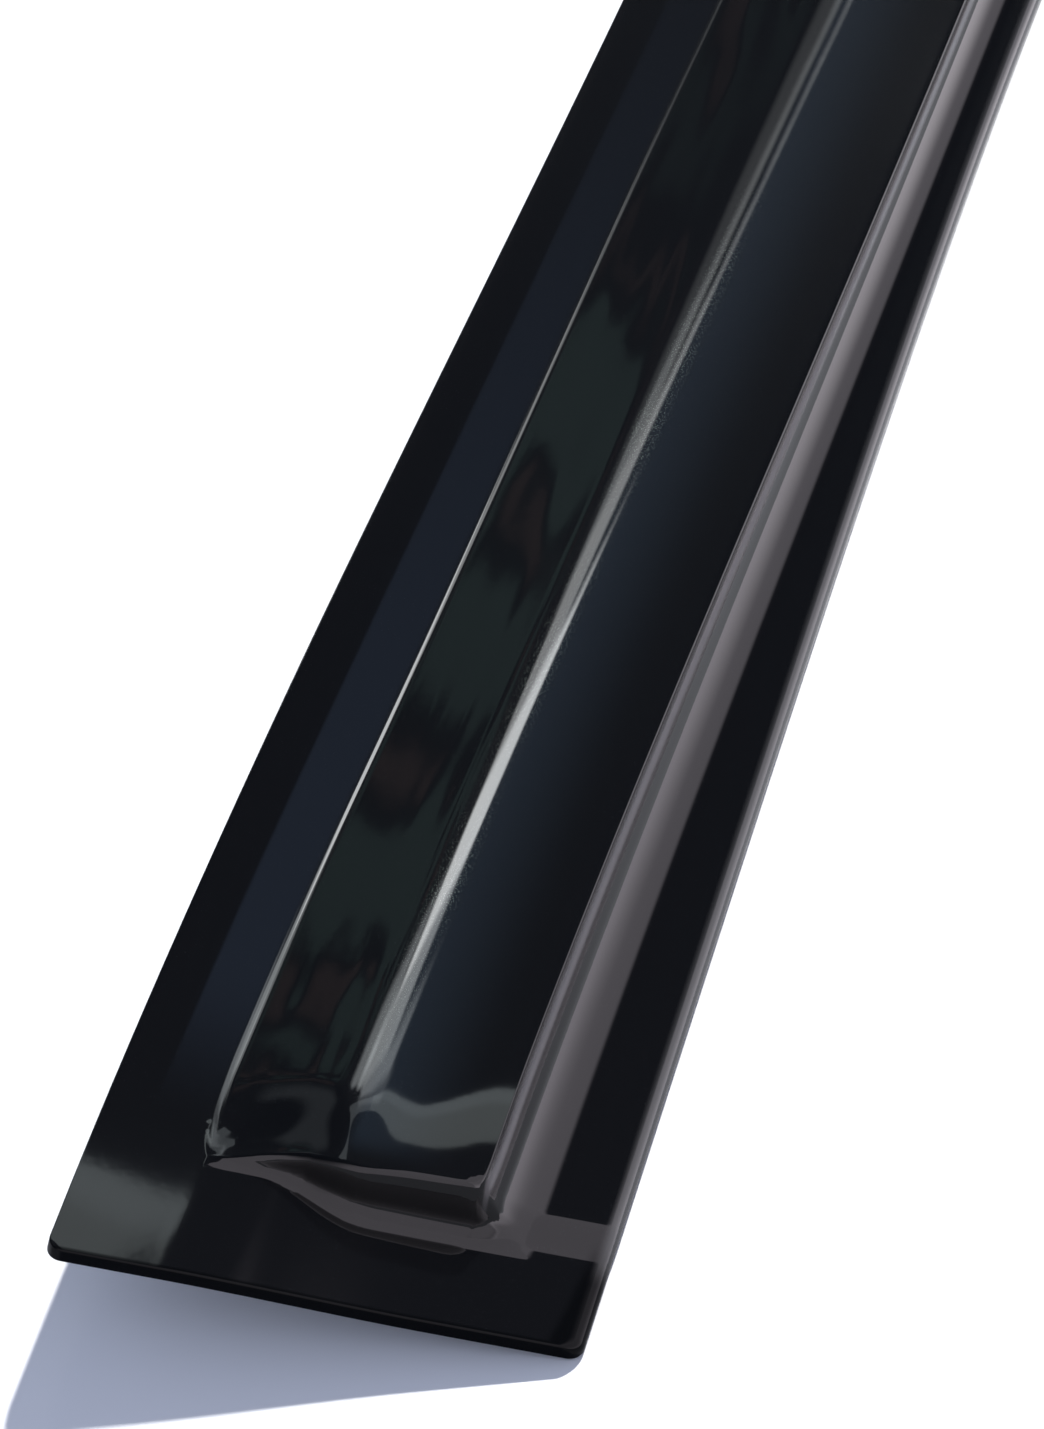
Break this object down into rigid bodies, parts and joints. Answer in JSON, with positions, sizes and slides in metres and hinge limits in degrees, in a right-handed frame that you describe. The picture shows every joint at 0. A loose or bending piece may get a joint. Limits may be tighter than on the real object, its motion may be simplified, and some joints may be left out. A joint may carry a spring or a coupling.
{
  "type": "window rain deflector",
  "caption": "Long moulded side-window rain deflector of dark smoked acrylic: flat mounting flange, raised hood with closed ends, steep side wall and a narrowing lip.",
  "frame": {"origin": "middle of the bounding box at its lowest face, on the surface that the shell rests on", "axes": "+Y along the deflector from the wide near end to the swept far end, +X towards the lip, +Z away from the window glass"},
  "size_m": [0.151, 0.7244, 0.0219],
  "materials": {
    "smoked_acrylic": "high gloss, moulded"
  },
  "bodies": {
    "root": {"deflector_shell": "smoked_acrylic"}
  },
  "joints": []
}
